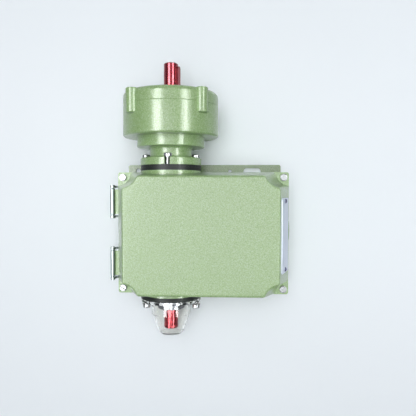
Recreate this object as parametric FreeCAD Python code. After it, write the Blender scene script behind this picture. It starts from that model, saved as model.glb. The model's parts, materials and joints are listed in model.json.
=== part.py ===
"""Inline gear reducer: a planetary head in line with a hinged-cover box that carries its output shaft.

Millimetres, +Z up. The origin is the centre of the mounting plate's underside. The shafts lie along Y,
the reducer head is at the +Y end and the box's cover opens upwards about hinges on the -X side.
"""

import os
from math import acos, cos, pi, radians, sin, sqrt, tan

import FreeCAD
import Part

V = FreeCAD.Vector

# ---------------------------------------------------------------- driving dimensions
SHAFT_X, SHAFT_Z = -30.0, 50.0          # common axis of the input and output shafts
BOX_X = 2.0                             # the box sits 2 mm to +X of the plate's centre
PLATE_X, PLATE_Y, PLATE_T = 82.5, 68.8, 3.0   # half sizes and thickness of the mounting plate
SLOT_X, SLOT_Y = 52.0, 62.0             # centres of the mounting slots
SLOT_LENGTH, SLOT_R = 18.5, 3.5
BOX_HX, BOX_HY = 82.0, 58.4             # half sizes of the box at its parting plane
FRONT_HX, FRONT_HY = 70.2, 54.0         # half sizes of the cover's flat front
WALL = 4.0
PARTING_Z = 57.0
EAR_Z = 62.0                            # top of the screw ears on the cover
FRONT_Z = 99.0
SEAL_T = 0.4                            # cover seal standing proud of the parting plane
COVER_GAP = 0.1
SCREW_INSET = 5.0                       # cover screw to the two edges of its ear
EAR_R, EAR_FRONT_R = 12.3, 17.2         # corner recess at the ear and at the cover's front
HINGE_X, HINGE_Z, HINGE_Y = -86.0, 60.0, 30.0
BARREL_R, BARREL_L, PIN_R = 2.3, 26.0, 1.2
BOSS_R, BOSS_Y, BOSS_T = 29.7, 60.0, 10.0
SHAFT_R, SEAT_R = 7.0, 7.5              # shaft ends, and bearing seats
BEARING_R, BEARING_W = 16.0, 9.0
RING_T, LOWER_RING_T = 5.4, 4.2         # black spacer rings on the upper and lower bosses
FLANGE_T, NECK_R = 7.2, 20.5
COLLAR_Y, COLLAR_R = 82.8, 33.0
HEAD_Y, HEAD_R, SPLIT_Y, HEAD_TOP = 92.8, 46.4, 122.1, 135.2
LUG_R, LUG_PCR, LUG_Y = 6.0, 45.2, 112.0
FLANGE_SCREW_R = 24.6                   # radius of the flange screws' circle
INPUT_END, OUTPUT_END = 165.0, -94.8
KEY_W, KEY_L, KEY_TOP_R, KEY_ANGLE = 5.0, 20.0, 9.2, 22.0
SEAM_TO_KEY = 67.5                      # keeps the seam of the shaft's round wall clear of its keyway
MODULE, SUN_Z, PLANET_Z, RING_Z = 1.25, 18, 18, 54
GEAR_Y, GEAR_W = 104.5, 11.0
CARRIER_Y, CARRIER_T, CARRIER_R = 97.4, 6.1, 31.0
PLANET_ANGLES = (90.0, 210.0, 330.0)
SIGNAL_X, DRIVE_Z, SIGNAL_Z = 15.0, 30, 60    # signal shaft's place, and teeth of its gear pair
DRIVE_Y, DRIVE_W = -45.0, 6.0
DISC_R, DISC_T = 24.0, 2.0
DISC_Y = (-26.0, -12.0, 2.0, 16.0)
SIGNAL_R = 4.0

ORBIT_R = MODULE * (SUN_Z + PLANET_Z) / 2
RING_Y = BOSS_Y + RING_T
FLANGE_Y = RING_Y + FLANGE_T
LOWER_RING_Y = -(BOSS_Y + LOWER_RING_T)
CAP_FLANGE_T = 3.2
CAP_Y = LOWER_RING_Y - CAP_FLANGE_T
COVER_Z = PARTING_Z + SEAL_T + COVER_GAP


# ---------------------------------------------------------------- shape helpers
def cyl(r, y0, y1, x=SHAFT_X, z=SHAFT_Z):
    """A cylinder along Y, on the shaft axis unless x and z say otherwise."""
    return Part.makeCylinder(r, y1 - y0, V(x, y0, z), V(0, 1, 0))


def cone(r0, r1, y0, y1, x=SHAFT_X, z=SHAFT_Z):
    return Part.makeCone(r0, r1, y1 - y0, V(x, y0, z), V(0, 1, 0))


def ring(r_out, r_in, y0, y1, x=SHAFT_X, z=SHAFT_Z):
    return cyl(r_out, y0, y1, x, z).cut(cyl(r_in, y0 - 1, y1 + 1, x, z))


def post(r, x, y, z0, z1):
    """A cylinder along Z."""
    return Part.makeCylinder(r, z1 - z0, V(x, y, z0))


def block(x0, x1, y0, y1, z0, z1):
    return Part.makeBox(x1 - x0, y1 - y0, z1 - z0, V(x0, y0, z0))


def rim(x, hx, hy, z):
    """A closed rectangular wire at height z."""
    corners = [V(x - hx, -hy, z), V(x + hx, -hy, z), V(x + hx, hy, z), V(x - hx, hy, z)]
    return Part.makePolygon(corners + corners[:1])


def revolve(profile):
    """Turns a profile of (radius, y) points about the shaft axis."""
    points = [V(SHAFT_X + r, y, SHAFT_Z) for r, y in profile]
    face = Part.Face(Part.makePolygon(points + points[:1]))
    return face.revolve(V(SHAFT_X, 0, SHAFT_Z), V(0, 1, 0), 360)


def join(shapes):
    shapes = list(shapes)
    out = shapes[0].fuse(shapes[1:]) if len(shapes) > 1 else shapes[0]
    return out.removeSplitter()


def group(shapes):
    """Separate solids that share one node."""
    return Part.makeCompound([s for shape in shapes for s in shape.Solids])


def around(shape, angle, x=SHAFT_X, z=SHAFT_Z):
    """Turns a shape about a Y axis so that +X goes towards +Z by angle degrees."""
    out = shape.copy()
    out.rotate(V(x, 0, z), V(0, -1, 0), angle)
    return out


def edges_where(shape, test):
    return [e for e in shape.Edges if all(test(v.Point) for v in e.Vertexes)]


def edges_across(shape, axis, at_least, top=1e9):
    """Straight edges that run at_least that far along one axis, below the height top."""
    ends = [(e, e.Vertexes[0].Point, e.Vertexes[-1].Point) for e in shape.Edges]
    return [e for e, a, b in ends if abs(a[axis] - b[axis]) > at_least and max(a.z, b.z) < top]


def corners_xy():
    return [(sx, sy) for sx in (-1, 1) for sy in (-1, 1)]


def pan_screw(where, head_way):
    """An M3 slotted pan-head screw; its head seats at where and stands up along head_way."""
    head = Part.makeCylinder(2.7, 1.8)
    head = head.makeFillet(0.6, edges_where(head, lambda p: p.z > 1.7))
    head = head.cut(block(-3, 3, -0.4, 0.4, 1.0, 2.0))
    screw = join([head, post(1.5, 0, 0, -6.5, 0)])
    screw.Placement = FreeCAD.Placement(where, FreeCAD.Rotation(V(0, 0, 1), head_way))
    return screw


def pan_screw_hole(where, head_way):
    hole = post(1.5, 0, 0, -6.5, 1)
    hole.Placement = FreeCAD.Placement(where, FreeCAD.Rotation(V(0, 0, 1), head_way))
    return hole


# ---------------------------------------------------------------- gears
def involute_outline(teeth, module, addendum, dedendum, thin, steps=4):
    """Points of an involute gear's outline, with a tooth centred on +X; thin takes that much off each flank."""
    pitch_r = module * teeth / 2
    base_r = pitch_r * cos(radians(20))
    tip_r, root_r = pitch_r + addendum, pitch_r - dedendum
    start_r = max(base_r, root_r)
    inv20 = tan(radians(20)) - radians(20)
    half = pi / (2 * teeth) - thin / pitch_r

    def half_angle(r):
        a = acos(min(1.0, base_r / r))
        return half + inv20 - (tan(a) - a)

    radii = [start_r + (tip_r - start_r) * i / (steps - 1) for i in range(steps)]
    flank = [(r, half_angle(r)) for r in radii]
    if root_r < start_r:
        flank.insert(0, (root_r, half_angle(start_r)))
    points = []
    for k in range(teeth):
        centre = 2 * pi * k / teeth
        points += [(r, centre - a) for r, a in flank]
        points += [(r, centre + a) for r, a in reversed(flank)]
    return [(r * cos(a), r * sin(a)) for r, a in points]


def gear_blank(teeth, module, y0, width, x, z, phase, addendum=None, dedendum=None, thin=0.04):
    addendum = module if addendum is None else addendum
    dedendum = 1.25 * module if dedendum is None else dedendum
    outline = involute_outline(teeth, module, addendum, dedendum, thin)
    points = [V(x + px, y0, z + pz) for px, pz in outline]
    face = Part.Face(Part.makePolygon(points + points[:1]))
    return around(face.extrude(V(0, width, 0)), phase, x, z)


# ---------------------------------------------------------------- ball bearings
OUTPUT_BEARING_YS = (0.2 - BOSS_Y, BOSS_Y - 0.2 - BEARING_W, HEAD_Y - BEARING_W)
INPUT_BEARING_Y = GEAR_Y + GEAR_W + 1.8
BALL_PCR, BALL_R, BALLS = 11.75, 2.3, 9


def ball_track(y0, r):
    return Part.makeTorus(BALL_PCR, r, V(SHAFT_X, y0 + BEARING_W / 2, SHAFT_Z), V(0, 1, 0))


def bearing_outer_ring(y0):
    """Outer ring of a 15 x 32 x 9 ball bearing with a shield on each side."""
    outer = ring(BEARING_R, 13.4, y0, y0 + BEARING_W).cut(ball_track(y0, BALL_R + 0.3))
    return join([outer] + [ring(13.4, 10.6, y, y + 0.5) for y in (y0 + 0.6, y0 + BEARING_W - 1.1)])


def bearing_inner_ring(y0):
    return ring(10.1, SEAT_R, y0, y0 + BEARING_W).cut(ball_track(y0, BALL_R + 0.01))


def bearing_balls(y0):
    ball = Part.makeSphere(BALL_R, V(SHAFT_X + BALL_PCR, y0 + BEARING_W / 2, SHAFT_Z))
    return [around(ball, 360 * k / BALLS) for k in range(BALLS)]


# ---------------------------------------------------------------- mounting plate and box
def mounting_plate():
    plate = block(-PLATE_X, PLATE_X, -PLATE_Y, PLATE_Y, 0, PLATE_T)
    plate = plate.makeFillet(2.0, edges_across(plate, 2, 1))
    half_run = SLOT_LENGTH / 2 - SLOT_R
    for sx, sy in corners_xy():
        x, y = sx * SLOT_X, sy * SLOT_Y
        slot = block(x - half_run, x + half_run, y - SLOT_R, y + SLOT_R, -1, PLATE_T + 1)
        ends = [post(SLOT_R, x + s * half_run, y, -1, PLATE_T + 1) for s in (-1, 1)]
        plate = plate.cut(join([slot] + ends))
        plate = plate.cut(plate_screw(sx, sy))
    plate = plate.cut(post(2.7, -72.0, 62.5, -1, PLATE_T + 1))     # earthing hole
    return plate.cut(post(1.7, 28.0, 62.0, -1, PLATE_T + 1))       # locating-pin hole


def plate_screw_place(sx, sy):
    return BOX_X + sx * 58.0, sy * 42.0


def plate_screw(sx, sy):
    """Countersunk screw from under the plate into the box's floor."""
    x, y = plate_screw_place(sx, sy)
    head = Part.makeCone(4.6, 2.5, 2.6, V(x, y, 0))
    return join([head, post(2.5, x, y, 0, 13.0)])


def plate_screws():
    screws = []
    for sx, sy in corners_xy():
        x, y = plate_screw_place(sx, sy)
        cross = join([block(x - 2, x + 2, y - 0.4, y + 0.4, -1, 1.2), block(x - 0.4, x + 0.4, y - 2, y + 2, -1, 1.2)])
        screws.append(plate_screw(sx, sy).cut(cross))
    return group(screws)


def cover_screw_place(sx, sy):
    return BOX_X + sx * (BOX_HX - SCREW_INSET), sy * (BOX_HY - SCREW_INSET)


PLUG_Y, PLUG_Z, PLUG_THREAD_R, PLUG_HEAD_R = 0.5, 28.0, 10.0, 12.0


def base_housing():
    x0, x1 = BOX_X - BOX_HX, BOX_X + BOX_HX
    box = block(x0, x1, -BOX_HY, BOX_HY, PLATE_T, PARTING_Z)
    box = box.makeFillet(2.0, edges_across(box, 2, 1))
    room = block(x0 + WALL, x1 - WALL, -BOX_HY + WALL, BOX_HY - WALL, PLATE_T + WALL, PARTING_Z + 1)
    for sx, sy in corners_xy():
        room = room.cut(post(EAR_R, BOX_X + sx * BOX_HX, sy * BOX_HY, 0, PARTING_Z + 2))
    box = box.cut(room)
    bosses = [cyl(BOSS_R, BOSS_Y - BOSS_T, BOSS_Y), cyl(BOSS_R, -BOSS_Y, BOSS_T - BOSS_Y)]
    feet = [post(6.5, *plate_screw_place(sx, sy), PLATE_T + 1, 13.0) for sx, sy in corners_xy()]
    box = join([box] + bosses + feet)
    seat = BEARING_W + 0.4
    for s in (-1, 1):
        y_face, y_seat = s * BOSS_Y, s * (BOSS_Y - seat)
        box = box.cut(cyl(BEARING_R, min(y_face, y_seat), max(y_face, y_seat)))
        box = box.cut(cyl(12.5, min(y_face, s * 45.0), max(y_face, s * 45.0)))
    for sx, sy in corners_xy():
        x, y = cover_screw_place(sx, sy)
        box = box.cut(post(2.9, x, y, PARTING_Z - 6.0, PARTING_Z + 1))
        box = box.cut(plate_screw(sx, sy))
    for angle in (0, 90, 180, 270):
        box = box.cut(around(cyl(2.0, BOSS_Y - 7, BOSS_Y, SHAFT_X + FLANGE_SCREW_R), angle))
    for angle in (0, 180):
        box = box.cut(around(cyl(2.0, -BOSS_Y, 7 - BOSS_Y, SHAFT_X + FLANGE_SCREW_R), angle))
    plug_hole = Part.makeCylinder(PLUG_THREAD_R, 12, V(x1 - 8, PLUG_Y, PLUG_Z), V(1, 0, 0))
    return drilled(box.cut(plug_hole))


def pan_screw_places():
    """Seats of the hinge brackets' screws, then of those through the inner brackets' and rail's feet."""
    hinge = [(V(BOX_X - BOX_HX - 1.5, s * HINGE_Y + dy, 49.0), V(-1, 0, 0)) for s in (-1, 1) for dy in (-9.0, 9.0)]
    foot_z = PLATE_T + WALL + 3
    feet = [(8.0, -42.0), (24.0, -42.0), (2.0, 25.0), (24.0, 25.0), (50.4, -30.0), (50.4, 20.0)]
    return hinge + [(V(x, y, foot_z), V(0, 0, 1)) for x, y in feet]


def cover_seal():
    """Flat seal round the box's rim, carried over both bosses as an arch."""
    x0, x1 = BOX_X - BOX_HX, BOX_X + BOX_HX
    inset, width = 1.2, 2.4
    outer = block(x0 + inset, x1 - inset, -BOX_HY + inset, BOX_HY - inset, PARTING_Z, PARTING_Z + SEAL_T)
    i = inset + width
    flat = outer.cut(block(x0 + i, x1 - i, -BOX_HY + i, BOX_HY - i, PARTING_Z - 1, PARTING_Z + 2))
    for sx, sy in corners_xy():
        x, y = cover_screw_place(sx, sy)
        flat = flat.cut(post(EAR_R, BOX_X + sx * BOX_HX, sy * BOX_HY, PARTING_Z - 1, PARTING_Z + 2))
        bend = post(EAR_R + 2.0, BOX_X + sx * BOX_HX, sy * BOX_HY, PARTING_Z, PARTING_Z + SEAL_T)
        bend = bend.cut(post(EAR_R, BOX_X + sx * BOX_HX, sy * BOX_HY, PARTING_Z - 1, PARTING_Z + 2))
        flat = flat.fuse(bend.common(block(x0 + inset, x1 - inset, inset - BOX_HY, BOX_HY - inset, 50, 60)))
    flat = flat.cut(cyl(BOSS_R, -70, 70))
    arches = [ring(BOSS_R + 0.7, BOSS_R, y, y + 3.0) for y in (52.4, -55.4)]
    above = block(-80, 20, -70, 70, PARTING_Z, 90)
    return join([flat] + [a.common(above) for a in arches])


# ---------------------------------------------------------------- cover
def recess(sx, sy, extra=0.0, z0=EAR_Z):
    """The scooped corner over a screw ear, leaning outwards towards the cover's front."""
    def circle(z):
        t = (z - EAR_Z) / (FRONT_Z - EAR_Z)
        centre = V(BOX_X + sx * (BOX_HX - 9.5 * t), sy * (BOX_HY + 1.6 * t), z)
        r = EAR_R + (EAR_FRONT_R - EAR_R) * t + extra
        return Part.Wire(Part.Circle(centre, V(0, 0, 1), r).toShape())

    return Part.makeLoft([circle(z0), circle(FRONT_Z + 2.0)], True, True)


def cover():
    x0 = BOX_X - BOX_HX
    skirt = block(x0, BOX_X + BOX_HX, -BOX_HY, BOX_HY, COVER_Z, EAR_Z)
    hood = Part.makeLoft([rim(BOX_X, BOX_HX, BOX_HY, EAR_Z), rim(BOX_X, FRONT_HX, FRONT_HY, FRONT_Z)], True, True)
    shell = join([skirt, hood])
    shell = shell.makeFillet(2.0, edges_across(shell, 2, 3, top=EAR_Z + 0.1))
    for sx, sy in corners_xy():
        shell = shell.cut(recess(sx, sy))
    shell = round_recess_lips(shell)
    inside = Part.makeLoft([rim(BOX_X, BOX_HX - WALL, BOX_HY - WALL, COVER_Z - 1),
                            rim(BOX_X, FRONT_HX - WALL + 0.3, FRONT_HY - WALL + 0.2, FRONT_Z - WALL)], True, True)
    for sx, sy in corners_xy():
        inside = inside.cut(recess(sx, sy, extra=WALL, z0=PARTING_Z - 4))
    shell = shell.cut(inside)
    for s in (-1, 1):
        shell = shell.cut(cyl(BOSS_R + 1.0, min(s * 40, s * 70), max(s * 40, s * 70)))
        lug = block(HINGE_X + 1.0, x0 + 0.5, s * HINGE_Y - 12, s * HINGE_Y + 12, COVER_Z + 0.2, HINGE_Z - 1.4)
        shell = shell.fuse(lug.cut(cyl(BARREL_R, s * HINGE_Y - 13, s * HINGE_Y + 13, HINGE_X, HINGE_Z)))
    for sx, sy in corners_xy():
        x, y = cover_screw_place(sx, sy)
        shell = shell.cut(post(2.0, x, y, 50, 70))
    return shell.cut(join(nameplate_rivet_list()))


def round_recess_lips(shell):
    """Rounds where the recesses meet the slanted walls, then the whole edge of the front face."""
    shell = shell.makeFillet(3.0, edges_across(shell, 2, FRONT_Z - EAR_Z - 5))
    front = edges_where(shell, lambda p: p.z > FRONT_Z - 0.01)
    return shell.makeFillet(2.2, front)


def cover_screws():
    """Captive slotted cheese-head screws, with their tips in the clearance pockets of the box's ears."""
    screws = []
    for (sx, sy), turn in zip(corners_xy(), (60, 5, -35, 20)):
        x, y = cover_screw_place(sx, sy)
        head = post(3.4, x, y, EAR_Z, EAR_Z + 3.2)
        head = head.makeFillet(0.6, edges_where(head, lambda p: p.z > EAR_Z + 3.1))
        head = head.cut(block(x - 0.5, x + 0.5, y - 5, y + 5, EAR_Z + 2.0, EAR_Z + 5))
        shank = post(2.0, x, y, PARTING_Z - 1.5, EAR_Z)
        screw = join([head, shank])
        screw.rotate(V(x, y, 0), V(0, 0, 1), turn)
        screws.append(screw)
    return group(screws)


# ---------------------------------------------------------------- nameplate on the cover's slanted +X wall
def on_slant(shape):
    """Carries a shape drawn with its back on the YZ plane to the middle of the slanted +X wall."""
    lean = FreeCAD.Rotation(V(0, 1, 0), -slant_degrees())
    mid = V(BOX_X + (BOX_HX + FRONT_HX) / 2, 0, (EAR_Z + FRONT_Z) / 2)
    out = shape.copy()
    out.Placement = FreeCAD.Placement(mid, lean)
    return out


def slant_degrees():
    run, rise = BOX_HX - FRONT_HX, FRONT_Z - EAR_Z
    return acos(rise / sqrt(run * run + rise * rise)) * 180 / pi


NAMEPLATE_HY, NAMEPLATE_HZ, NAMEPLATE_T, RIVET_Y = 34.2, 13.5, 0.8, 31.3


def nameplate_blank():
    plate = block(0, NAMEPLATE_T, -NAMEPLATE_HY, NAMEPLATE_HY, -NAMEPLATE_HZ, NAMEPLATE_HZ)
    return plate.makeFillet(2.0, edges_across(plate, 0, 0.5))


def nameplate():
    plate = nameplate_blank()
    for s in (-1, 1):
        plate = plate.cut(Part.makeCylinder(1.5, 4, V(-2, s * RIVET_Y, 0), V(1, 0, 0)))
    return on_slant(plate)


def nameplate_rivet_list():
    rivets = []
    for s in (-1, 1):
        dome = Part.makeSphere(2.6, V(NAMEPLATE_T - 1.2, s * RIVET_Y, 0))
        dome = dome.common(block(NAMEPLATE_T, 5, s * RIVET_Y - 3, s * RIVET_Y + 3, -3, 3))
        pin = Part.makeCylinder(1.5, NAMEPLATE_T + 3.0, V(-3.0, s * RIVET_Y, 0), V(1, 0, 0))
        rivets.append(on_slant(join([dome, pin])))
    return rivets


# ---------------------------------------------------------------- hinges
def hinge_brackets():
    """Base half of each hinge: a plate screwed to the box, with two arms that hold the pin."""
    x0 = BOX_X - BOX_HX
    brackets = []
    for s in (-1, 1):
        mid = s * HINGE_Y
        plate = block(x0 - 1.5, x0, mid - 15.4, mid + 15.4, 43.0, 55.0)
        arms = []
        for side in (-1, 1):
            y_a, y_b = sorted((mid + side * 13.4, mid + side * 15.4))
            eye = cyl(BARREL_R, y_a, y_b, HINGE_X, HINGE_Z)
            web = Part.Face(Part.makePolygon([V(x, y_a, z) for x, z in
                                              ((HINGE_X - BARREL_R, HINGE_Z), (HINGE_X + BARREL_R, HINGE_Z),
                                               (HINGE_X + BARREL_R, PARTING_Z - 0.2), (x0, PARTING_Z - 2.0),
                                               (x0, 45.0), (HINGE_X - BARREL_R, HINGE_Z))]))
            arms.append(join([eye, web.extrude(V(0, y_b - y_a, 0))]))
        bracket = join([plate] + arms).cut(cyl(PIN_R, mid - 20, mid + 20, HINGE_X, HINGE_Z))
        brackets.append(drilled(bracket))
    return group(brackets)


def drilled(shape):
    """Cuts the pan-head screws' holes that pass through a shape."""
    for where, way in pan_screw_places():
        shape = shape.cut(pan_screw_hole(where, way))
    return shape


def hinge_barrels():
    """Cover half of each hinge: a tube between the arms, seated against the cover's lug."""
    barrels = []
    for s in (-1, 1):
        y0, y1 = s * HINGE_Y - BARREL_L / 2, s * HINGE_Y + BARREL_L / 2
        tube = cyl(BARREL_R, y0, y1, HINGE_X, HINGE_Z)
        tube = tube.makeChamfer(0.6, [e for e in tube.Edges if e.Closed and len(e.Vertexes) == 1])
        barrels.append(tube.cut(cyl(PIN_R + 0.05, y0 - 1, y1 + 1, HINGE_X, HINGE_Z)))
    return group(barrels)


def hinge_pins():
    pins = []
    for s in (-1, 1):
        mid = s * HINGE_Y
        pin = cyl(PIN_R, mid - 15.4, mid + 15.4, HINGE_X, HINGE_Z)
        heads = [cyl(2.1, mid + 15.4, mid + 16.1, HINGE_X, HINGE_Z), cyl(2.1, mid - 16.1, mid - 15.4, HINGE_X, HINGE_Z)]
        pins.append(join([pin] + heads))
    return group(pins)


# ---------------------------------------------------------------- cable entry
def cable_entry_plug():
    x1 = BOX_X + BOX_HX
    head = Part.makeCylinder(PLUG_HEAD_R, 2.9, V(x1 + 0.7, PLUG_Y, PLUG_Z), V(1, 0, 0))
    head = head.makeChamfer(0.7, edges_where(head, lambda p: p.x > x1 + 3.5))
    thread = Part.makeCylinder(PLUG_THREAD_R, 8.7, V(x1 - 8, PLUG_Y, PLUG_Z), V(1, 0, 0))
    slot = block(x1 + 2.3, x1 + 6, PLUG_Y - 1.2, PLUG_Y + 1.2, PLUG_Z - 9, PLUG_Z + 9)
    return join([head, thread]).cut(slot)


def cable_entry_seal():
    x1 = BOX_X + BOX_HX
    out = Part.makeCylinder(PLUG_HEAD_R - 0.4, 0.7, V(x1, PLUG_Y, PLUG_Z), V(1, 0, 0))
    return out.cut(Part.makeCylinder(PLUG_THREAD_R, 3, V(x1 - 1, PLUG_Y, PLUG_Z), V(1, 0, 0)))


# ---------------------------------------------------------------- rings, adapter and reducer head
def spacer_ring(s, angles):
    """Black ring between a boss and what is screwed to it, with a shallow groove round its rim."""
    y0, y1 = sorted((s * BOSS_Y, RING_Y if s > 0 else LOWER_RING_Y))
    body = ring(BOSS_R, 12.5, y0, y1)
    body = body.cut(ring(BOSS_R + 1, BOSS_R - 0.5, (y0 + y1) / 2 - 0.4, (y0 + y1) / 2 + 0.4))
    for angle in angles:
        body = body.cut(around(cyl(2.0, y0 - 1, y1 + 1, SHAFT_X + FLANGE_SCREW_R), angle))
    return body


def flange_screw(y_head, y_tip, head_h, head_r=3.8):
    """A cheese-head screw along Y on the +X side of the flange; the slot is in its head's far end."""
    way = 1 if y_head > y_tip else -1
    y_top = y_head + way * head_h
    x = SHAFT_X + FLANGE_SCREW_R
    head = cyl(head_r, min(y_head, y_top), max(y_head, y_top), x)
    head = head.makeFillet(0.9, edges_where(head, lambda p: abs(p.y - y_top) < 0.01))
    head = head.cut(block(x - 5, x + 5, min(y_top, y_top - way * 1.3), max(y_top, y_top - way * 1.3),
                          SHAFT_Z - 0.6, SHAFT_Z + 0.6))
    return join([head, cyl(2.0, min(y_head, y_tip), max(y_head, y_tip), x)])


def adapter_screws():
    return group([around(flange_screw(FLANGE_Y, BOSS_Y - 7, 3.6), a) for a in (0, 90, 180, 270)])


ADAPTER_BOLT_R = 25.0


def adapter_bolt():
    """Countersunk bolt from inside the head into the adapter's collar."""
    x = SHAFT_X + ADAPTER_BOLT_R
    return join([cone(2.0, 4.0, HEAD_Y + 2.0, HEAD_Y + 4.0, x), cyl(2.0, HEAD_Y - 7, HEAD_Y + 4, x)])


def adapter_bolts():
    x = SHAFT_X + ADAPTER_BOLT_R
    socket = cyl(1.2, HEAD_Y + 2.4, HEAD_Y + 5, x)
    return group([around(adapter_bolt().cut(socket), 45 + 90 * k) for k in range(4)])


def adapter():
    """Lantern between box and head: slotted flange, neck, and the collar that seats the output bearing."""
    body = revolve([(14.0, RING_Y), (BOSS_R, RING_Y), (BOSS_R, FLANGE_Y - 0.8), (BOSS_R - 0.8, FLANGE_Y),
                    (NECK_R + 1.5, FLANGE_Y), (NECK_R, FLANGE_Y + 1.5), (NECK_R, COLLAR_Y - 1.5),
                    (NECK_R + 1.5, COLLAR_Y), (COLLAR_R - 0.6, COLLAR_Y), (COLLAR_R, COLLAR_Y + 0.6),
                    (COLLAR_R, HEAD_Y), (BEARING_R, HEAD_Y), (BEARING_R, HEAD_Y - BEARING_W),
                    (14.0, HEAD_Y - BEARING_W)])
    for k in range(4):
        slot = join([cyl(2.5, RING_Y - 1, FLANGE_Y + 1, SHAFT_X + FLANGE_SCREW_R),
                     block(SHAFT_X + FLANGE_SCREW_R, SHAFT_X + BOSS_R + 2, RING_Y - 1, FLANGE_Y + 1,
                           SHAFT_Z - 2.5, SHAFT_Z + 2.5)])
        spot_face = cyl(4.2, FLANGE_Y, FLANGE_Y + 4.5, SHAFT_X + FLANGE_SCREW_R)
        body = body.cut(around(slot, 90 * k)).cut(around(spot_face, 90 * k))
        body = body.cut(around(adapter_bolt(), 45 + 90 * k))
    return body


def lugs(y0, y1):
    return [around(cyl(LUG_R, y0, y1, SHAFT_X + LUG_PCR), 45 + 90 * k) for k in range(4)]


def head_screw():
    """Socket screw in a counterbore on top of a lug, on the +X side."""
    x = SHAFT_X + LUG_PCR
    return join([cyl(3.4, HEAD_TOP - 6.0, HEAD_TOP - 2.0, x), cyl(2.0, LUG_Y + 4.0, HEAD_TOP - 4.0, x)])


def head_screw_room():
    x = SHAFT_X + LUG_PCR
    return join([cyl(3.6, HEAD_TOP - 6.0, HEAD_TOP + 1.0, x), cyl(2.0, LUG_Y + 4.0, HEAD_TOP, x)])


def head_screws():
    x = SHAFT_X + LUG_PCR
    sides = [V(x + 1.7 * cos(radians(60 * k)), HEAD_TOP - 4.2, SHAFT_Z + 1.7 * sin(radians(60 * k))) for k in range(6)]
    hexagon = Part.Face(Part.makePolygon(sides + sides[:1])).extrude(V(0, 5, 0))
    return group([around(head_screw().cut(hexagon), 45 + 90 * k) for k in range(4)])


CAVITY_R, FLOOR_T = 40.4, 4.0


def gear_housing():
    bevel = 0.35
    body = revolve([(14.0, HEAD_Y), (HEAD_R - 1.2, HEAD_Y), (HEAD_R, HEAD_Y + 1.2), (HEAD_R, SPLIT_Y - bevel),
                    (HEAD_R - bevel, SPLIT_Y), (CAVITY_R, SPLIT_Y), (CAVITY_R, HEAD_Y + FLOOR_T),
                    (14.0, HEAD_Y + FLOOR_T)])
    outside = [lug.cut(cyl(CAVITY_R + 1, 90, 140)) for lug in lugs(LUG_Y, SPLIT_Y)]
    body = join([body] + outside)
    foot = [e for e in body.Edges if all(abs(v.Y - LUG_Y) < 0.01 for v in e.Vertexes) and e.Length > 8]
    body = body.makeFillet(1.2, foot) if foot else body
    for k in range(4):
        body = body.cut(around(head_screw_room(), 45 + 90 * k))
        body = body.cut(around(adapter_bolt(), 45 + 90 * k))
    return body


def gear_housing_cover():
    bevel, crown = 0.35, 5.0
    hub_y, seal_y = INPUT_BEARING_Y, HEAD_TOP - 7.0
    arc = [(HEAD_R - crown + crown * cos(radians(a)), HEAD_TOP - crown + crown * sin(radians(a)))
           for a in range(0, 91, 10)]
    body = revolve([(BEARING_R, hub_y), (21.0, hub_y), (21.0, seal_y), (36.0, seal_y), (36.0, SPLIT_Y - 4),
                    (CAVITY_R, SPLIT_Y - 4), (CAVITY_R, SPLIT_Y), (HEAD_R - bevel, SPLIT_Y),
                    (HEAD_R, SPLIT_Y + bevel)] + arc +
                   [(12.0, HEAD_TOP), (12.0, seal_y), (10.5, seal_y), (10.5, hub_y + BEARING_W + 0.5),
                    (BEARING_R, hub_y + BEARING_W + 0.5)])
    tops = []
    for lug in lugs(SPLIT_Y, HEAD_TOP - 0.5):
        lug = lug.makeFillet(1.0, edges_where(lug, lambda p: p.y > HEAD_TOP - 0.6))
        tops.append(lug.cut(cyl(CAVITY_R - 3, 90, HEAD_TOP - 4)))
    body = join([body] + tops)
    for k in range(4):
        body = body.cut(around(head_screw_room(), 45 + 90 * k))
    return body


def input_seal():
    body = revolve([(SHAFT_R + 0.05, HEAD_TOP - 4.5), (8.6, HEAD_TOP - 6.8), (12.0, HEAD_TOP - 6.8),
                    (12.0, HEAD_TOP - 0.4), (8.0, HEAD_TOP - 0.4), (SHAFT_R + 0.4, HEAD_TOP - 1.2),
                    (SHAFT_R + 0.05, HEAD_TOP - 3.0)])
    return body


def output_seal():
    return revolve([(SEAT_R + 0.05, 77.5), (9.5, 75.0), (14.0, 75.0), (14.0, 81.5), (9.5, 81.5),
                    (SEAT_R + 0.05, 79.0)])


# ---------------------------------------------------------------- lower end
def bearing_cover_plate():
    """Bright stepped cup that holds the lower bearing, seen through the clear cap."""
    y0, bore = LOWER_RING_Y, SHAFT_R + 1.0
    return revolve([(bore, y0 - 11.4), (11.6, y0 - 11.4), (13.4, y0 - 10.4), (13.4, y0 - 7.2), (14.8, y0 - 6.4),
                    (14.8, y0 - 4.2), (16.8, y0 - 3.2), (16.8, y0), (12.4, y0), (12.4, -BOSS_Y), (bore, -BOSS_Y)])


def cap_profile(offset):
    """Half section of the clear cap, as (radius, y), shrunk inwards by offset."""
    o = offset
    return [(0.01, -100.3 + o), (10.2 - o * 0.6, -100.3 + o), (12.1 - o, -98.4), (18.9 - o, -80.6),
            (18.9 - o, CAP_Y - 0.01)]


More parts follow.
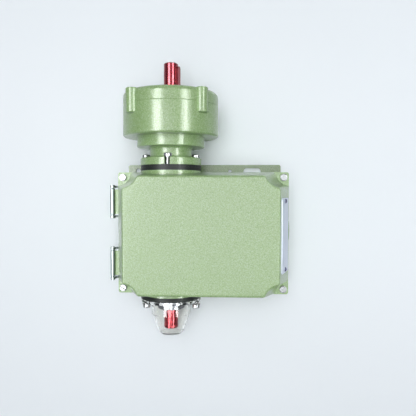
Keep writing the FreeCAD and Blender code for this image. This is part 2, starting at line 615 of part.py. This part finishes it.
def clear_cap():
    """Transparent sight cap over the shaft's free end; only a narrow register of its flange touches the ring."""
    outer = revolve(cap_profile(0.0) + [(0.01, CAP_Y - 0.01)])
    inner = revolve(cap_profile(1.6) + [(17.3, 10 + LOWER_RING_Y), (0.01, 10 + LOWER_RING_Y)])
    flange = revolve([(17.3, CAP_Y), (BOSS_R - 0.5, CAP_Y), (BOSS_R, CAP_Y + 0.5), (BOSS_R, LOWER_RING_Y - 0.15),
                      (19.5, LOWER_RING_Y - 0.15), (19.5, LOWER_RING_Y), (17.3, LOWER_RING_Y)])
    bosses = [around(cyl(4.2, CAP_Y - 4.6, CAP_Y, SHAFT_X + FLANGE_SCREW_R), a) for a in (0, 180)]
    shell = join([outer, flange] + bosses).cut(inner)
    pip = Part.makeSphere(0.7, V(SHAFT_X + 12.3, -97.9, SHAFT_Z))
    shell = join([shell, pip.cut(inner)])
    for a in (0, 180):
        shell = shell.cut(around(cyl(2.0, CAP_Y - 10, -BOSS_Y, SHAFT_X + FLANGE_SCREW_R), a))
    return shell


def cap_screws():
    return group([around(flange_screw(CAP_Y - 4.6, 7 - BOSS_Y, 3.8, 3.5), a) for a in (0, 180)])


# ---------------------------------------------------------------- planetary gear train
def ring_gear():
    y0, y1 = GEAR_Y - 0.5, GEAR_Y + GEAR_W + 0.5
    teeth = gear_blank(RING_Z, MODULE, y0 - 1, y1 - y0 + 2, SHAFT_X, SHAFT_Z, 180 / RING_Z,
                       addendum=1.25 * MODULE, dedendum=0.9 * MODULE, thin=-0.04)
    return cyl(CAVITY_R, y0, y1).cut(teeth)


def sun_gear():
    blank = gear_blank(SUN_Z, MODULE, GEAR_Y, GEAR_W, SHAFT_X, SHAFT_Z, 0)
    return blank.cut(cyl(6.0, GEAR_Y - 1, GEAR_Y + GEAR_W + 1))


def planet_place(angle):
    return SHAFT_X + ORBIT_R * cos(radians(angle)), SHAFT_Z + ORBIT_R * sin(radians(angle))


def planet_gear(angle):
    x, z = planet_place(angle)
    blank = gear_blank(PLANET_Z, MODULE, GEAR_Y, GEAR_W, x, z, 180 / PLANET_Z)
    return blank.cut(cyl(4.5, GEAR_Y - 1, GEAR_Y + GEAR_W + 1, x, z))


def planet_bush(angle):
    x, z = planet_place(angle)
    return ring(4.5, 3.03, GEAR_Y, GEAR_Y + GEAR_W, x, z)


def planet_pins():
    pins = [cyl(3.0, CARRIER_Y, GEAR_Y + GEAR_W + 0.4, *planet_place(a)) for a in PLANET_ANGLES]
    heads = [cyl(4.2, GEAR_Y + GEAR_W + 0.4, GEAR_Y + GEAR_W + 1.2, *planet_place(a)) for a in PLANET_ANGLES]
    return group([join(pair) for pair in zip(pins, heads)])


def planet_carrier():
    plate = cyl(CARRIER_R, CARRIER_Y, CARRIER_Y + CARRIER_T)
    plate = plate.cut(cyl(SEAT_R, CARRIER_Y - 1, 100.4)).cut(cyl(6.0, 100, CARRIER_Y + CARRIER_T + 1))
    for angle in PLANET_ANGLES:
        plate = plate.cut(cyl(3.0, CARRIER_Y - 1, CARRIER_Y + CARRIER_T + 1, *planet_place(angle)))
        window = cyl(6.0, CARRIER_Y - 1, CARRIER_Y + CARRIER_T + 1, *planet_place(angle + 60))
        plate = plate.cut(window)
    return plate


def pilot_bush():
    return ring(6.0, 4.03, 100.4, CARRIER_Y + CARRIER_T)


def input_shaft():
    seat_y = GEAR_Y + GEAR_W
    body = revolve([(0.01, 100.8), (4.0, 100.8), (4.0, GEAR_Y - 0.4), (6.0, GEAR_Y - 0.4), (6.0, seat_y),
                    (SEAT_R, seat_y), (SEAT_R, seat_y + 1.8 + BEARING_W), (SHAFT_R, seat_y + 1.8 + BEARING_W),
                    (SHAFT_R, INPUT_END - 0.8), (SHAFT_R - 0.8, INPUT_END), (0.01, INPUT_END)])
    body = join([body, cyl(1.0, 100.8, INPUT_END)])
    return around(body, KEY_ANGLE - SEAM_TO_KEY).cut(input_key())


def input_key():
    """Round-ended parallel key, standing up from the shaft at KEY_ANGLE above +X."""
    y1 = INPUT_END - 3.5
    y0 = y1 - KEY_L
    r, half = KEY_W / 2, KEY_W / 2
    x0, x1 = SHAFT_X + 4.0, SHAFT_X + KEY_TOP_R
    body = block(x0, x1, y0 + r, y1 - r, SHAFT_Z - half, SHAFT_Z + half)
    ends = [Part.makeCylinder(r, x1 - x0, V(x0, y, SHAFT_Z), V(1, 0, 0)) for y in (y0 + r, y1 - r)]
    return around(join([body] + ends), KEY_ANGLE)


def through_shaft():
    """Output shaft: carries the planet carrier, runs through the box and ends under the clear cap."""
    body = revolve([(0.01, OUTPUT_END), (SHAFT_R - 0.8, OUTPUT_END), (SHAFT_R, OUTPUT_END + 0.8),
                    (SHAFT_R, 0.2 - BOSS_Y), (SEAT_R, 0.2 - BOSS_Y), (SEAT_R, 100.4), (0.01, 100.4)])
    return join([body, cyl(1.0, OUTPUT_END, 100.4)])


# ---------------------------------------------------------------- signal train inside the box
def drive_gear():
    blank = gear_blank(DRIVE_Z, 1.0, DRIVE_Y, DRIVE_W, SHAFT_X, SHAFT_Z, 0)
    hub = cyl(11.5, DRIVE_Y + DRIVE_W, DRIVE_Y + DRIVE_W + 7)
    grub = Part.makeCylinder(1.6, 14, V(SHAFT_X, DRIVE_Y + DRIVE_W + 3.5, SHAFT_Z))
    return join([blank, hub]).cut(cyl(SEAT_R, DRIVE_Y - 1, DRIVE_Y + 20)).cut(grub)


def drive_gear_grub_screw():
    y = DRIVE_Y + DRIVE_W + 3.5
    screw = Part.makeCylinder(1.6, 3.6, V(SHAFT_X, y, SHAFT_Z + SEAT_R))
    screw = screw.cut(cyl(SEAT_R, y - 3, y + 3))
    return screw.cut(Part.makeCylinder(0.8, 2, V(SHAFT_X, y, SHAFT_Z + SEAT_R + 2.2)))


def signal_gear():
    blank = gear_blank(SIGNAL_Z, 1.0, DRIVE_Y, DRIVE_W, SIGNAL_X, SHAFT_Z, 180 / SIGNAL_Z)
    blank = blank.cut(cyl(SIGNAL_R, DRIVE_Y - 1, DRIVE_Y + DRIVE_W + 1, SIGNAL_X))
    for k in range(6):
        hole = cyl(5.0, DRIVE_Y - 1, DRIVE_Y + DRIVE_W + 1, SIGNAL_X + 18.0)
        blank = blank.cut(around(hole, 60 * k, SIGNAL_X))
    return blank


def signal_shaft():
    return cyl(SIGNAL_R, -50.6, 34.6, SIGNAL_X)


def signal_disc(index):
    """Sensing disc with one open sector; each disc's sector has its own place and width."""
    y = DISC_Y[index]
    disc = ring(DISC_R, SIGNAL_R, y - DISC_T / 2, y + DISC_T / 2, SIGNAL_X)
    start, width = 40 + 75 * index, 50 + 20 * index
    cutter = ring(DISC_R + 1, DISC_R - 7, y - 2, y + 2, SIGNAL_X)
    far = 60.0
    fan = [V(SIGNAL_X, y - 3, SHAFT_Z)]
    fan += [V(SIGNAL_X + far * cos(radians(start + width * t / 4)), y - 3,
              SHAFT_Z + far * sin(radians(start + width * t / 4))) for t in range(5)]
    sector = Part.Face(Part.makePolygon(fan + fan[:1])).extrude(V(0, 6, 0))
    return disc.cut(cutter.common(sector))


def disc_hubs():
    """Clamping hubs that space the discs along the signal shaft."""
    edges = [DRIVE_Y + DRIVE_W] + [y for c in DISC_Y for y in (c - DISC_T / 2, c + DISC_T / 2)] + [29.4]
    hubs = [ring(9.0, SIGNAL_R, edges[i], edges[i + 1], SIGNAL_X) for i in range(0, len(edges), 2)]
    return group(hubs)


BRACKET_YS = ((-50.0, -47.0), (30.0, 33.0))


def signal_brackets():
    brackets = []
    for y0, y1 in BRACKET_YS:
        x_low = 1.5 if y0 < 0 else -4.0
        plate = block(x_low, SIGNAL_X + 15, y0, y1, PLATE_T + WALL, 52.0)
        plate = join([plate, cyl(9.0, y0, y1, SIGNAL_X, 52.0)])
        foot_y = (y1, y1 + 9) if y0 < 0 else (y0 - 9, y0)
        foot = block(x_low, SIGNAL_X + 15, *foot_y, PLATE_T + WALL, PLATE_T + WALL + 3)
        brackets.append(drilled(join([plate, foot]).cut(cyl(6.0, y0 - 1, y1 + 1, SIGNAL_X))))
    return group(brackets)


def signal_bushes():
    return group([ring(6.0, SIGNAL_R + 0.04, y0, y1, SIGNAL_X) for y0, y1 in BRACKET_YS])


RAIL_X0, RAIL_X1, RAIL_Z = 44.0, 54.0, 43.0


def sensor_rail():
    web = block(RAIL_X0, RAIL_X0 + 3, -36, 26, PLATE_T + WALL, RAIL_Z)
    shelf = block(RAIL_X0, RAIL_X1, -36, 26, RAIL_Z - 3, RAIL_Z)
    foot = block(RAIL_X0, RAIL_X1, -36, 26, PLATE_T + WALL, PLATE_T + WALL + 3)
    return drilled(join([web, shelf, foot]))


def fork_sensor(index):
    """Fork sensor that straddles the rim of one disc."""
    y = DISC_Y[index]
    body = block(33.0, RAIL_X1, y - 5, y + 5, RAIL_Z, RAIL_Z + 13)
    body = body.makeChamfer(1.0, edges_where(body, lambda p: p.z > RAIL_Z + 12.9))
    body = body.cut(block(32.0, 42.0, y - 2.2, y + 2.2, RAIL_Z - 1, RAIL_Z + 14))
    return body.cut(post(1.4, 49.5, y, RAIL_Z + 9, RAIL_Z + 14))


def fork_sensor_lamps():
    return group([post(1.4, 49.5, y, RAIL_Z + 9, RAIL_Z + 12.6) for y in DISC_Y])


TERMINAL_X, TERMINAL_PITCH, TERMINAL_N = 64.0, 8.0, 8


def terminal_ys():
    return [TERMINAL_PITCH * (i - (TERMINAL_N - 1) / 2) for i in range(TERMINAL_N)]


def terminal_block():
    half = TERMINAL_PITCH * TERMINAL_N / 2
    body = block(TERMINAL_X - 9, TERMINAL_X + 9, -half, half, PLATE_T + WALL, 22.0)
    body = join([body, block(TERMINAL_X - 4.5, TERMINAL_X + 4.5, -half, half, 22.0, 27.0)])
    for y in terminal_ys():
        for side in (-1, 1):
            body = body.cut(post(2.6, TERMINAL_X + side * 6.6, y, 17.0, 23.0))
            body = body.cut(Part.makeCylinder(1.8, 6, V(TERMINAL_X + side * 9.5, y, 13.0), V(-side, 0, 0)))
    return body


def terminal_screws():
    screws = []
    for y in terminal_ys():
        for side in (-1, 1):
            x = TERMINAL_X + side * 6.6
            screws.append(post(2.4, x, y, 17.0, 21.0).cut(block(x - 3, x + 3, y - 0.4, y + 0.4, 20.0, 22)))
    return group(screws)


def earth_stud():
    """Earthing stud on the box's floor with its washers and nut."""
    x, y, z = -64.0, -20.0, PLATE_T + WALL
    sides = [V(x + 4.0 * cos(radians(60 * k)), y + 4.0 * sin(radians(60 * k)), z + 2.0) for k in range(6)]
    nut = Part.Face(Part.makePolygon(sides + sides[:1])).extrude(V(0, 0, 3.2))
    return join([post(2.5, x, y, z, z + 11), post(5.0, x, y, z, z + 2.0), nut])


# ---------------------------------------------------------------- every node
def model():
    nodes = {
        "mounting_plate": mounting_plate(), "plate_screws": plate_screws(), "base_housing": base_housing(),
        "cover_seal": cover_seal(), "cover": cover(), "cover_screws": cover_screws(), "nameplate": nameplate(),
        "nameplate_rivets": group(nameplate_rivet_list()), "hinge_brackets": hinge_brackets(),
        "pan_head_screws": group([pan_screw(*place) for place in pan_screw_places()]),
        "hinge_barrels": hinge_barrels(), "hinge_pins": hinge_pins(),
        "cable_entry_plug": cable_entry_plug(), "cable_entry_seal": cable_entry_seal(),
        "upper_spacer_ring": spacer_ring(1, (0, 90, 180, 270)), "lower_spacer_ring": spacer_ring(-1, (0, 180)),
        "adapter": adapter(), "adapter_screws": adapter_screws(), "adapter_bolts": adapter_bolts(),
        "gear_housing": gear_housing(), "gear_housing_cover": gear_housing_cover(), "head_screws": head_screws(),
        "input_seal": input_seal(), "output_seal": output_seal(), "bearing_cover_plate": bearing_cover_plate(),
        "clear_cap": clear_cap(), "cap_screws": cap_screws(), "ring_gear": ring_gear(), "sun_gear": sun_gear(),
        "planet_pins": planet_pins(), "planet_carrier": planet_carrier(), "pilot_bush": pilot_bush(),
        "input_shaft": input_shaft(), "input_key": input_key(), "through_shaft": through_shaft(),
        "drive_gear": drive_gear(), "drive_gear_grub_screw": drive_gear_grub_screw(),
        "signal_gear": signal_gear(), "signal_shaft": signal_shaft(), "disc_hubs": disc_hubs(),
        "signal_discs": group([signal_disc(i) for i in range(len(DISC_Y))]),
        "signal_brackets": signal_brackets(), "signal_bushes": signal_bushes(), "sensor_rail": sensor_rail(),
        "fork_sensors": group([fork_sensor(i) for i in range(4)]), "fork_sensor_lamps": fork_sensor_lamps(),
        "terminal_block": terminal_block(), "terminal_screws": terminal_screws(), "earth_stud": earth_stud(),
        "bearing_outer_rings": group([bearing_outer_ring(y) for y in OUTPUT_BEARING_YS + (INPUT_BEARING_Y,)]),
        "output_bearing_inner_rings": group([bearing_inner_ring(y) for y in OUTPUT_BEARING_YS]),
        "output_bearing_balls": group([ball for y in OUTPUT_BEARING_YS for ball in bearing_balls(y)]),
        "input_bearing_inner_ring": bearing_inner_ring(INPUT_BEARING_Y),
        "input_bearing_balls": group(bearing_balls(INPUT_BEARING_Y)),
    }
    for number, angle in enumerate(PLANET_ANGLES, 1):
        nodes[f"planet_gear_{number}"] = planet_gear(angle)
        nodes[f"planet_bush_{number}"] = planet_bush(angle)
    return nodes


def main():
    os.makedirs("parts", exist_ok=True)
    for name, shape in model().items():
        if not shape.isValid():
            raise ValueError(f"{name} is not a valid shape")
        shape.exportStep(f"parts/{name}.step")


main()
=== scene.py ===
"""Looks, light and camera for the inline gear reducer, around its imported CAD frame. Metres, +Z up."""

import json
import math

import bpy
from mathutils import Euler, Matrix, Vector

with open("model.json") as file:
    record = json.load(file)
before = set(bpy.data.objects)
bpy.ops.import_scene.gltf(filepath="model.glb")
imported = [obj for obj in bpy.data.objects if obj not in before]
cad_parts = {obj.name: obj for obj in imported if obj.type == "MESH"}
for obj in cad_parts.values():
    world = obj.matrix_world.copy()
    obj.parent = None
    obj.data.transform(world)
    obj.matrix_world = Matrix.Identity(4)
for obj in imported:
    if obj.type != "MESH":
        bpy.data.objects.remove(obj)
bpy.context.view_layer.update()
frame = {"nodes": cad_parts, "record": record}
nodes = frame["nodes"]


# ---------------------------------------------------------------- node helpers
class Shader:
    """One Principled material, and short calls that add and join its nodes."""

    def __init__(self, name, **sockets):
        self.mat = bpy.data.materials.new(name)
        self.mat.use_nodes = True
        self.tree = self.mat.node_tree
        self.bsdf = self.tree.nodes["Principled BSDF"]
        self.coords = self.tree.nodes.new("ShaderNodeTexCoord").outputs["Object"]
        for key, value in sockets.items():
            self.bsdf.inputs[key.replace("_", " ")].default_value = value

    def node(self, kind, **settings):
        made = self.tree.nodes.new(kind)
        for key, value in settings.items():
            setattr(made, key, value)
        return made

    def put(self, socket, value):
        """Joins an output to a socket, or sets the socket where the value is a plain one."""
        if isinstance(value, bpy.types.NodeSocket):
            self.tree.links.new(value, socket)
        else:
            socket.default_value = value

    def stretched(self, scale):
        """Object coordinates scaled by a different amount along each axis."""
        made = self.node("ShaderNodeMapping")
        self.put(made.inputs["Vector"], self.coords)
        made.inputs["Scale"].default_value = scale
        return made.outputs["Vector"]

    def noise(self, scale, detail=3.0, rough=0.5, coords=None):
        made = self.node("ShaderNodeTexNoise")
        self.put(made.inputs["Vector"], coords or self.coords)
        for key, value in (("Scale", scale), ("Detail", detail), ("Roughness", rough)):
            made.inputs[key].default_value = value
        return made.outputs["Fac"]

    def cells(self, scale, coords):
        """Distance from the middle of each cell of an irregular net."""
        made = self.node("ShaderNodeTexVoronoi")
        self.put(made.inputs["Vector"], coords)
        made.inputs["Scale"].default_value = scale
        return made.outputs["Distance"]

    def warped(self, scale, amount):
        """Object coordinates pushed about by a noise, so that patterns don't look regular."""
        noise = self.node("ShaderNodeTexNoise")
        self.put(noise.inputs["Vector"], self.coords)
        noise.inputs["Scale"].default_value = scale
        push = self.node("ShaderNodeVectorMath", operation="SCALE")
        self.put(push.inputs[0], noise.outputs["Color"])
        push.inputs["Scale"].default_value = amount
        total = self.node("ShaderNodeVectorMath", operation="ADD")
        self.put(total.inputs[0], self.coords)
        self.put(total.inputs[1], push.outputs[0])
        return total.outputs[0]

    def spread(self, value, low, high, to_low=0.0, to_high=1.0):
        """Maps low..high onto to_low..to_high, clamped."""
        made = self.node("ShaderNodeMapRange")
        self.put(made.inputs["Value"], value)
        for key, number in (("From Min", low), ("From Max", high),
                            ("To Min", to_low), ("To Max", to_high)):
            made.inputs[key].default_value = number
        return made.outputs["Result"]

    def maths(self, operation, a, b):
        made = self.node("ShaderNodeMath", operation=operation)
        self.put(made.inputs[0], a)
        self.put(made.inputs[1], b)
        return made.outputs[0]

    def mix(self, factor, a, b):
        """Mixes two colours, given as (r, g, b) or as outputs."""
        made = self.node("ShaderNodeMix", data_type="RGBA")
        sockets = [s for s in made.inputs if s.type == "RGBA"]
        self.put(made.inputs[0], factor)
        for socket, value in zip(sockets, (a, b)):
            plain = not isinstance(value, bpy.types.NodeSocket)
            self.put(socket, (*value, 1.0) if plain else value)
        return next(s for s in made.outputs if s.type == "RGBA")

    def bump(self, height, strength, distance):
        made = self.node("ShaderNodeBump")
        self.put(made.inputs["Height"], height)
        made.inputs["Strength"].default_value = strength
        made.inputs["Distance"].default_value = distance
        return made.outputs["Normal"]

    def use(self, **sockets):
        for key, value in sockets.items():
            self.put(self.bsdf.inputs[key.replace("_", " ")], value)
        return self.mat


# ---------------------------------------------------------------- materials
def tinted(colour, gain):
    """The colour made lighter or darker, held at 1."""
    return tuple(min(1.0, gain * c) for c in colour)


# Scales are in cells or waves per metre, distances in metres.
ENAMEL_CELLS = 820.0
ENAMEL_SPECKS = 1250.0
ENAMEL_CLOUDS = 35.0
SPECK_HEIGHT = 0.35                     # share of a speck's height in a domed cell's


def hammertone(name, light, mid, dark):
    """Hammer-finish enamel: shallow domed cells, darker seams, uneven tone and a glossy top."""
    s = Shader(name, Coat_Weight=0.65, Coat_Roughness=0.10, Coat_IOR=1.50, Specular_IOR_Level=0.25)
    dome = s.cells(ENAMEL_CELLS, s.warped(900.0, 0.0007))
    fine = s.cells(ENAMEL_CELLS * 2.0, s.warped(1500.0, 0.0005))
    cloud = s.noise(ENAMEL_CLOUDS, 4.0)
    speck = s.noise(ENAMEL_SPECKS, 3.0, 0.65)
    seam = s.spread(dome, 0.25, 0.62)
    colour = s.mix(s.spread(seam, 0.0, 1.0, 0.0, 0.85), light, mid)
    colour = s.mix(s.spread(speck, 0.48, 0.70, 0.0, 0.65), colour, dark)
    colour = s.mix(s.spread(fine, 0.0, 0.20, 0.35, 0.0), colour, tinted(light, 1.25))
    colour = s.mix(s.spread(cloud, 0.35, 0.7, 0.0, 0.22), colour, mid)
    height = s.maths("ADD", s.maths("MULTIPLY", dome, -1.0), s.maths("MULTIPLY", speck, SPECK_HEIGHT))
    rough = s.spread(s.noise(600.0, 3.0), 0.3, 0.7, 0.30, 0.42)
    return s.use(Base_Color=colour, Roughness=rough, Normal=s.bump(height, 0.30, 0.0004),
                 Coat_Normal=s.bump(height, 0.20, 0.0003))


def lacquered_steel(name, deep, bright):
    """Ground steel under transparent red lacquer, with fine marks round the shaft."""
    s = Shader(name, Metallic=0.75, Coat_Weight=0.35, Coat_Roughness=0.10)
    marks = s.noise(420.0, 4.0, 0.6, coords=s.stretched((0.15, 9.0, 0.15)))
    pool = s.noise(160.0, 3.0)
    colour = s.mix(s.spread(pool, 0.35, 0.7), deep, bright)
    colour = s.mix(s.spread(marks, 0.45, 0.75, 0.0, 0.12), colour, tinted(deep, 0.6))
    rough = s.spread(marks, 0.3, 0.7, 0.22, 0.28)
    return s.use(Base_Color=colour, Roughness=rough, Normal=s.bump(marks, 0.01, 0.0001))


def metal(name, colour, rough, brushed=None, grime=0.15, metallic=1.0, scale=300.0):
    """Bare or plated metal with faint cloudiness; brushed gives the stretch of its grain."""
    s = Shader(name, Metallic=metallic)
    grain = s.noise(scale, 4.0, 0.6, coords=s.stretched(brushed) if brushed else None)
    cloud = s.noise(70.0, 3.0)
    tone = s.mix(s.spread(cloud, 0.35, 0.75, 0.0, grime), colour, tinted(colour, 0.55))
    tone = s.mix(s.spread(grain, 0.4, 0.8, 0.0, 0.25), tone, tinted(colour, 1.2))
    rough_out = s.spread(grain, 0.25, 0.75, rough * 0.75, rough * 1.35)
    return s.use(Base_Color=tone, Roughness=rough_out, Normal=s.bump(grain, 0.08, 0.0002))


def plastic(name, colour, rough, speck=0.12, bump=0.12, **sockets):
    """Moulded plastic or rubber with a fine spark-eroded grain and slight tone changes."""
    s = Shader(name, **sockets)
    grain = s.noise(700.0, 4.0, 0.6)
    cloud = s.noise(45.0, 3.0)
    lighter = tuple(min(1.0, c * 1.35 + 0.01) for c in colour)
    tone = s.mix(s.spread(grain, 0.35, 0.7, 0.0, speck * 2.0), colour, lighter)
    tone = s.mix(s.spread(cloud, 0.4, 0.7, 0.0, 0.25), tone, tinted(colour, 0.75))
    rough_out = s.spread(grain, 0.3, 0.7, rough * 0.85, rough * 1.15)
    return s.use(Base_Color=tone, Roughness=rough_out, Normal=s.bump(grain, bump, 0.0003))


def clear_moulding(name):
    """Clear cap, faintly milky and warm, with slight flow lines and tiny scuffs."""
    s = Shader(name, Transmission_Weight=1.0, IOR=1.40, Specular_IOR_Level=0.1)
    flow = s.noise(60.0, 3.0, 0.5, coords=s.stretched((1.0, 0.25, 1.0)))
    scuff = s.noise(900.0, 4.0, 0.7)
    tone = s.mix(s.spread(flow, 0.3, 0.7), (0.99, 0.98, 0.955), (0.96, 0.955, 0.92))
    rough = s.spread(scuff, 0.55, 0.8, 0.03, 0.14)
    return s.use(Base_Color=tone, Roughness=rough, Normal=s.bump(flow, 0.08, 0.0015))


LIGHT_GREEN, MID_GREEN, DARK_GREEN = (0.41, 0.55, 0.31), (0.29, 0.44, 0.18), (0.09, 0.21, 0.03)
FINISHES = {
    "green_paint": hammertone("green_paint", LIGHT_GREEN, MID_GREEN, DARK_GREEN),
    # The mounting plate gets a darker copy of the same green enamel: painted shade, standing in for the
    # shade the box casts on the plate.
    "plate_paint": hammertone("plate_paint",
                              (0.24, 0.33, 0.18), (0.18, 0.26, 0.11), (0.08, 0.15, 0.04)),
    "plug_paint": hammertone("plug_paint",
                             (0.42, 0.55, 0.35), (0.34, 0.48, 0.27), (0.19, 0.30, 0.13)),
    "black_ring": plastic("black_ring", (0.020, 0.024, 0.022), rough=0.45, bump=0.2,
                          Specular_IOR_Level=0.2),
    "red_shaft": lacquered_steel("red_shaft", (0.27, 0.026, 0.038), (0.35, 0.044, 0.055)),
    "clear_plastic": clear_moulding("clear_plastic"),
    "zinc_screws": metal("zinc_screws", (0.30, 0.31, 0.315), rough=0.28, scale=500.0),
    "hinge_steel": metal("hinge_steel", (0.30, 0.34, 0.34), rough=0.30, brushed=(6.0, 0.2, 6.0)),
    "nameplate_metal": metal("nameplate_metal", (0.66, 0.70, 0.81), rough=0.40,
                             brushed=(0.3, 0.3, 8.0), metallic=0.55),
    "rivet_metal": metal("rivet_metal", (0.10, 0.105, 0.17), rough=0.35),
    "seal_rubber": plastic("seal_rubber", (0.022, 0.022, 0.022), rough=0.6, bump=0.25),
    "dished_plate": metal("dished_plate", (0.24, 0.25, 0.28), rough=0.32),
    "gear_steel": metal("gear_steel", (0.52, 0.52, 0.54), rough=0.30, brushed=(1.0, 0.15, 1.0)),
    "bearing_steel": metal("bearing_steel", (0.72, 0.73, 0.75), rough=0.12),
    "bronze": metal("bronze", (0.66, 0.43, 0.18), rough=0.42, scale=900.0),
    "white_plastic": plastic("white_plastic", (0.78, 0.77, 0.71), rough=0.35, speck=0.05),
    "signal_metal": metal("signal_metal", (0.60, 0.60, 0.62), rough=0.25, brushed=(0.2, 8.0, 0.2)),
    "disc_metal": metal("disc_metal", (0.09, 0.095, 0.10), rough=0.4, metallic=0.6),
    "bracket_zinc": metal("bracket_zinc", (0.66, 0.65, 0.58), rough=0.36, scale=90.0, grime=0.3),
    "sensor_plastic": plastic("sensor_plastic", (0.028, 0.028, 0.032), rough=0.45),
    "lamp_plastic": plastic("lamp_plastic", (0.66, 0.06, 0.04), rough=0.15, Coat_Weight=0.6),
    "terminal_plastic": plastic("terminal_plastic", (0.36, 0.37, 0.35), rough=0.42),
    "terminal_brass": metal("terminal_brass", (0.72, 0.60, 0.34), rough=0.28),
}

for part in frame["record"]["subparts"]:
    mesh = nodes[part["node"]].data
    mesh.materials.clear()
    mesh.materials.append(FINISHES[part["material_slot"]])


# ---------------------------------------------------------------- stage, light and camera
DAYLIGHT = (0.97, 0.99, 1.0)
AMBIENT, AMBIENT_STRENGTH = (0.90, 0.95, 1.0, 1.0), 0.06
BACKDROP = (0.80, 0.85, 0.90, 1.0)
FLOOR_REACH, FLOOR_Z = 1.3, -0.0002
HEAD_AIM = (-0.03, 0.05, 0.06)

# Name, place, aim, size, watts, and whether it lights the matt tone and shows in the gloss.
LAMPS = (
    ("left_strip", (-0.580, 0.15, 1.16), HEAD_AIM, (1.40, 0.40), 30.0, False, True),
    ("right_strip", (0.778, 0.15, 0.99), HEAD_AIM, (1.40, 0.30), 24.0, False, True),
    ("left_fill", (-0.89, 0.08, 1.10), HEAD_AIM, (1.00, 0.50), 0.5, True, False),
    ("right_fill", (0.60, 0.08, 1.30), HEAD_AIM, (1.00, 0.50), 0.6, True, False),
    ("far_fill", (0.0, 1.1, 1.7), (0.0, 0.03, 0.05), (1.2, 0.9), 4.5, True, False),
    ("near_fill", (0.0, -1.1, 1.7), (0.0, 0.0, 0.05), (1.2, 0.9), 3.5, True, False),
    ("top_fill", (0.0, 0.1, 1.8), (0.0, 0.0, 0.0), (1.0, 1.2), 24.0, True, False),
    ("top_veil", (-0.09, -0.10, 2.0), (-0.09, -0.10, 0.0), (1.1, 1.0), 12.5, False, True),
)

CAMERA_AT = (0.0277, 0.0390, 0.5082)
CAMERA_TURN = [math.radians(a) for a in (-1.9, 2.65, 0.07)]
SENSOR_WIDTH, LENS = 36.0, 40.26


def floor():
    corners = ((-1, -1), (1, -1), (1, 1), (-1, 1))
    mesh = bpy.data.meshes.new("floor")
    points = [(x * FLOOR_REACH, y * FLOOR_REACH, FLOOR_Z) for x, y in corners]
    mesh.from_pydata(points, [], [(0, 1, 2, 3)])
    made = bpy.data.objects.new("floor", mesh)
    bpy.context.scene.collection.objects.link(made)
    s = Shader("floor_paint", Roughness=0.6)
    tone = s.mix(s.spread(s.noise(3.0), 0.35, 0.65), (0.80, 0.845, 0.89), (0.82, 0.86, 0.905))
    mesh.materials.append(s.use(Base_Color=tone))


def studio_world():
    """A faint ambient light, and a pale room behind the floor for the camera."""
    world = bpy.data.worlds.new("studio")
    world.use_nodes = True
    tree = world.node_tree
    ambient = tree.nodes["Background"]
    ambient.inputs[0].default_value = AMBIENT
    ambient.inputs[1].default_value = AMBIENT_STRENGTH
    seen = tree.nodes.new("ShaderNodeBackground")
    seen.inputs[0].default_value = BACKDROP
    direct = tree.nodes.new("ShaderNodeLightPath")
    chosen = tree.nodes.new("ShaderNodeMixShader")
    tree.links.new(direct.outputs["Is Camera Ray"], chosen.inputs[0])
    tree.links.new(ambient.outputs[0], chosen.inputs[1])
    tree.links.new(seen.outputs[0], chosen.inputs[2])
    tree.links.new(chosen.outputs[0], tree.nodes["World Output"].inputs[0])
    return world


def lamp(name, at, aim, size, watts, matt, gloss):
    data = bpy.data.lights.new(name, "AREA")
    data.shape = "RECTANGLE"
    data.size, data.size_y = size
    data.energy = watts
    data.color = DAYLIGHT
    made = bpy.data.objects.new(name, data)
    made.location = at
    made.rotation_euler = (Vector(aim) - Vector(at)).to_track_quat("-Z", "Y").to_euler()
    made.visible_diffuse, made.visible_glossy = matt, gloss
    bpy.context.scene.collection.objects.link(made)


def photo_camera():
    eye = bpy.data.cameras.new("camera")
    eye.sensor_width = SENSOR_WIDTH
    eye.lens = LENS
    made = bpy.data.objects.new("camera", eye)
    turn = Euler(CAMERA_TURN, "XYZ").to_matrix().to_4x4()
    made.matrix_world = Matrix.Translation(CAMERA_AT) @ turn
    bpy.context.scene.collection.objects.link(made)
    return made


floor()
scene = bpy.context.scene
scene.world = studio_world()
scene.view_settings.view_transform = "Standard"
for row in LAMPS:
    lamp(*row)
scene.camera = photo_camera()
